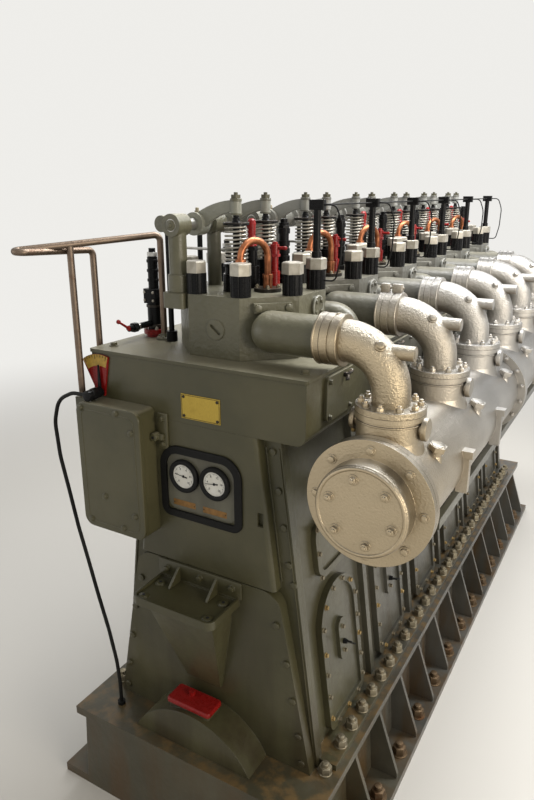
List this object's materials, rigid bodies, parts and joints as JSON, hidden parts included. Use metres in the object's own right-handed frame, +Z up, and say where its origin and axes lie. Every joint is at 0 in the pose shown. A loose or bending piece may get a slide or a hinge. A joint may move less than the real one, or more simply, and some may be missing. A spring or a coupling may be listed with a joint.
{
  "type": "marine diesel engine, six cylinders in line",
  "caption": "In-line marine diesel engine on its bedplate: open valve gear over the heads, exhaust bends into a side manifold, gauge panel and control box at the end.",
  "frame": {"origin": "centre of the holding-down bolt pattern on the underside of the bedplate", "axes": "+Y along the crankshaft towards the output coupling, +X towards the exhaust side, +Z up"},
  "size_m": [1.71, 4.4658, 2.813],
  "materials": {
    "engine_enamel": "semi-gloss",
    "head_enamel": "satin",
    "silver_paint": "satin",
    "black_gloss": "gloss",
    "red_gloss": "gloss",
    "bright_nut": "satin",
    "spring_steel": "satin",
    "machined_steel": "satin",
    "copper": "satin",
    "black_rubber": "satin",
    "gauge_white": "gloss",
    "plate_yellow": "satin",
    "rail_steel": "satin"
  },
  "bodies": {
    "engine": {"adjusting_nuts": "black_gloss", "air_start_valves": "black_gloss", "bed_gussets": "engine_enamel", "bedplate": "engine_enamel", "bend_flanges": "black_gloss", "block_side_covers": "engine_enamel", "control_box": "engine_enamel", "control_box_lid": "engine_enamel", "control_conduit": "black_rubber", "control_quadrant": "red_gloss", "cooling_bends": "copper", "crankcase": "engine_enamel", "crankcase_doors_left": "engine_enamel", "crankcase_doors_right": "engine_enamel", "cylinder_block": "engine_enamel", "cylinder_heads": "head_enamel", "exhaust_elbows": "silver_paint", "exhaust_joints": "silver_paint", "front_cover": "engine_enamel", "fuel_pipes": "machined_steel", "fuel_pump_bases": "red_gloss", "fuel_pumps": "black_gloss", "gauge_frame": "black_rubber", "guard_rail": "rail_steel", "head_nuts": "bright_nut", "injector_caps": "red_gloss", "injectors": "black_gloss", "intake_elbows": "head_enamel", "lower_front_cover": "engine_enamel", "manifold_brackets": "engine_enamel", "manifold_end_cover": "silver_paint", "manifold_front": "silver_paint", "manifold_rail": "engine_enamel", "manifold_rear": "silver_paint", "name_plate": "plate_yellow", "output_shaft": "machined_steel", "pressure_gauges": "gauge_white", "push_rods": "black_gloss", "rear_cover": "engine_enamel", "relief_valves": "red_gloss", "rocker_arms": "head_enamel", "rocker_pedestals": "head_enamel", "rocker_shafts": "machined_steel", "sensor_leads": "black_rubber", "spring_caps": "black_gloss", "stud_sleeves": "black_gloss", "thermometer_posts": "black_gloss", "turning_lid": "red_gloss", "valve_cages": "black_gloss", "valve_springs": "spring_steel"},
    "pointer": {"control_pointer": "black_gloss"}
  },
  "joints": [
    {"name": "pointer_swing", "type": "hinge", "parent": "engine", "child": "pointer", "pos_m": [-0.505, -1.918, 2.002], "axis": [0, 1, 0], "range_deg": [-28, 16]}
  ]
}
